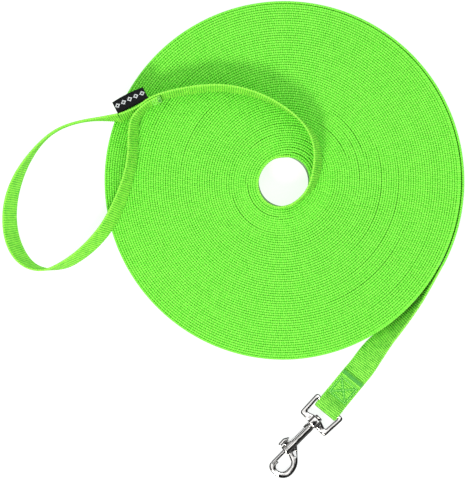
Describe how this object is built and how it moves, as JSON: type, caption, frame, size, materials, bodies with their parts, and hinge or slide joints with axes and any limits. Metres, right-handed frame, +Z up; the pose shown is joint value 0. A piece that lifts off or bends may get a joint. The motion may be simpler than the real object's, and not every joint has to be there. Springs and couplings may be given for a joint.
{
  "type": "training leash",
  "caption": "Long flat-webbing training leash wound on edge into a flat coil, with a sewn hand loop, a blank label and a swivel bolt snap at the outer end.",
  "frame": {"origin": "centre of the whole part's footprint, on the surface it lies on", "axes": "+Z up off the surface and along the axis the webbing is wound about; +Y across the coil away from the snap's side; +X across the coil away from the hand loop's side"},
  "size_m": [0.3343, 0.3453, 0.0384],
  "materials": {
    "webbing": "neon green flat-woven tape with fine cross ribs, slightly glossy filament yarn",
    "thread": "matching green sewing thread, matte",
    "label": "black woven label, blank, satin",
    "plated_casting": "bright nickel-chrome plated zinc casting",
    "plated_pin": "bright plated steel pin",
    "spring_wire": "drawn spring wire, satin"
  },
  "bodies": {
    "leash": {"webbing_coil": "webbing", "handle_lead": "webbing", "handle_loop": "webbing", "loop_stitching": "thread", "loop_label": "label", "tail_strap": "webbing", "turnback_ply": "webbing", "turnback_stitching": "thread"},
    "eye": {"swivel_eye": "plated_casting"},
    "snap": {"snap_body": "plated_casting", "swivel_rivet": "plated_pin", "bolt_spring": "spring_wire"},
    "bolt": {"snap_bolt": "plated_pin", "thumb_knob": "plated_casting"}
  },
  "joints": [
    {"name": "eye_on_webbing", "type": "hinge", "parent": "leash", "child": "eye", "pos_m": [0.0701, -0.1221, 0.00375], "axis": [-0.7071, 0.7071, 0], "range_deg": [-130, 130]},
    {"name": "snap_swivel", "type": "hinge", "parent": "eye", "child": "snap", "pos_m": [0.0544, -0.1378, 0.00375], "axis": [-0.7071, -0.7071, 0], "continuous": true},
    {"name": "bolt_slide", "type": "slide", "parent": "snap", "child": "bolt", "axis": [0.7071, 0.7071, 0], "range_m": [0, 0.009], "stiffness_N_per_m": 400, "springref_m": -0.006, "deforming": ["bolt_spring"]}
  ]
}
